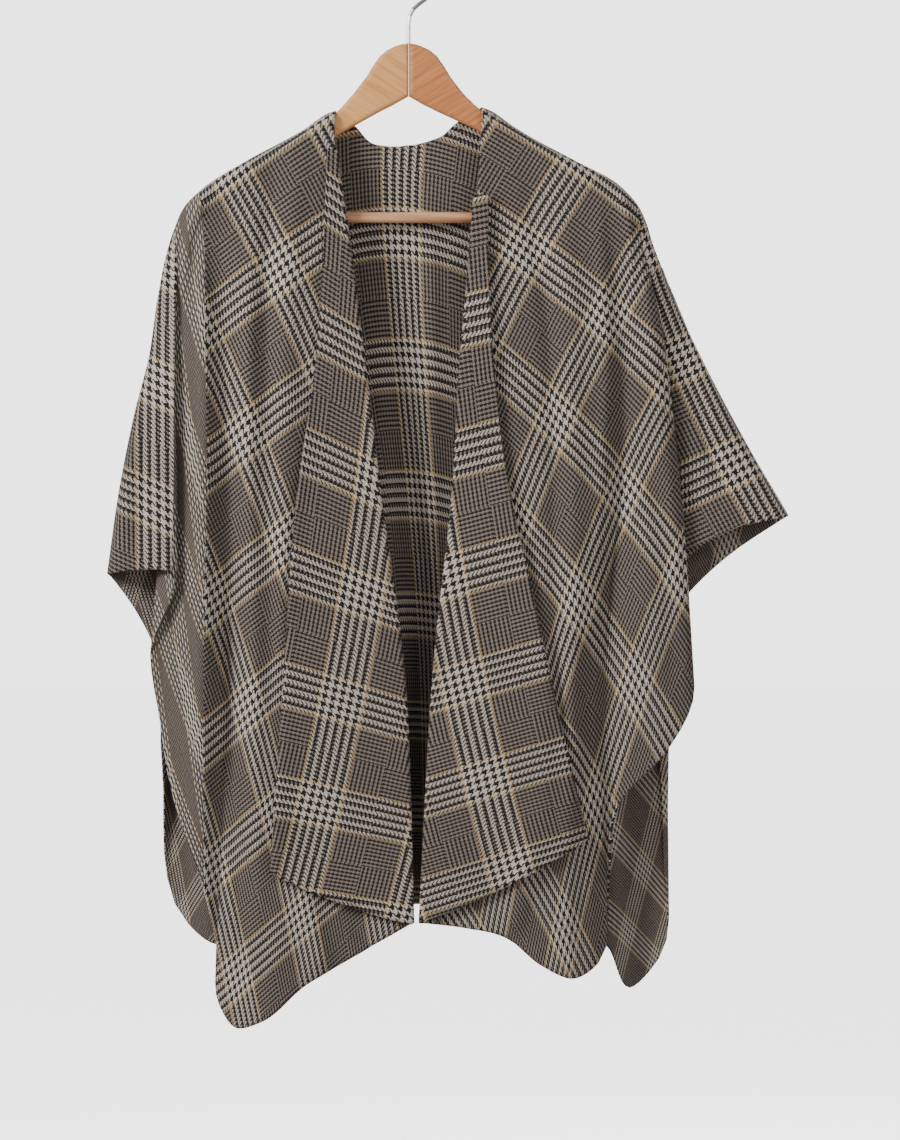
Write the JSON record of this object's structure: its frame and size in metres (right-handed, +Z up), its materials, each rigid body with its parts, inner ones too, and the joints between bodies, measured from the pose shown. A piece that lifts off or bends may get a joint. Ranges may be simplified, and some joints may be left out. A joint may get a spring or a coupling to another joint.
{
  "type": "open-front shawl on a clothes hanger",
  "caption": "Open-front checked wool shawl with two turned-back lapels and short loose sleeves, hung on a flat wooden hanger with a round bar and a wire hook.",
  "frame": {"origin": "the inner top of the hook's loop, where the hook rests on a rail", "axes": "+Z up, -Y towards the viewer of the shawl's open front, +X towards the viewer's right"},
  "size_m": [0.6819, 0.08, 1.0639],
  "materials": {
    "back_cloth": "checked wool twill with a soft nap",
    "left_front_cloth": "checked wool twill with a soft nap",
    "right_front_cloth": "checked wool twill with a soft nap",
    "left_sleeve_drop": "checked wool twill with a soft nap",
    "right_sleeve_drop": "checked wool twill with a soft nap",
    "left_lapel": "checked wool twill with a soft nap",
    "right_lapel": "checked wool twill with a soft nap",
    "hanger_left_wing": "lacquered honey-coloured wood",
    "hanger_right_wing": "lacquered reddish wood",
    "hanger_bar": "smooth turned wood",
    "hanger_hook": "bright steel wire"
  },
  "bodies": {
    "root": {"back_cloth": "back_cloth", "left_front_cloth": "left_front_cloth", "right_front_cloth": "right_front_cloth", "left_sleeve_drop": "left_sleeve_drop", "right_sleeve_drop": "right_sleeve_drop", "left_lapel": "left_lapel", "right_lapel": "right_lapel", "hanger_left_wing": "hanger_left_wing", "hanger_right_wing": "hanger_right_wing", "hanger_bar": "hanger_bar", "hanger_hook": "hanger_hook"}
  },
  "joints": []
}
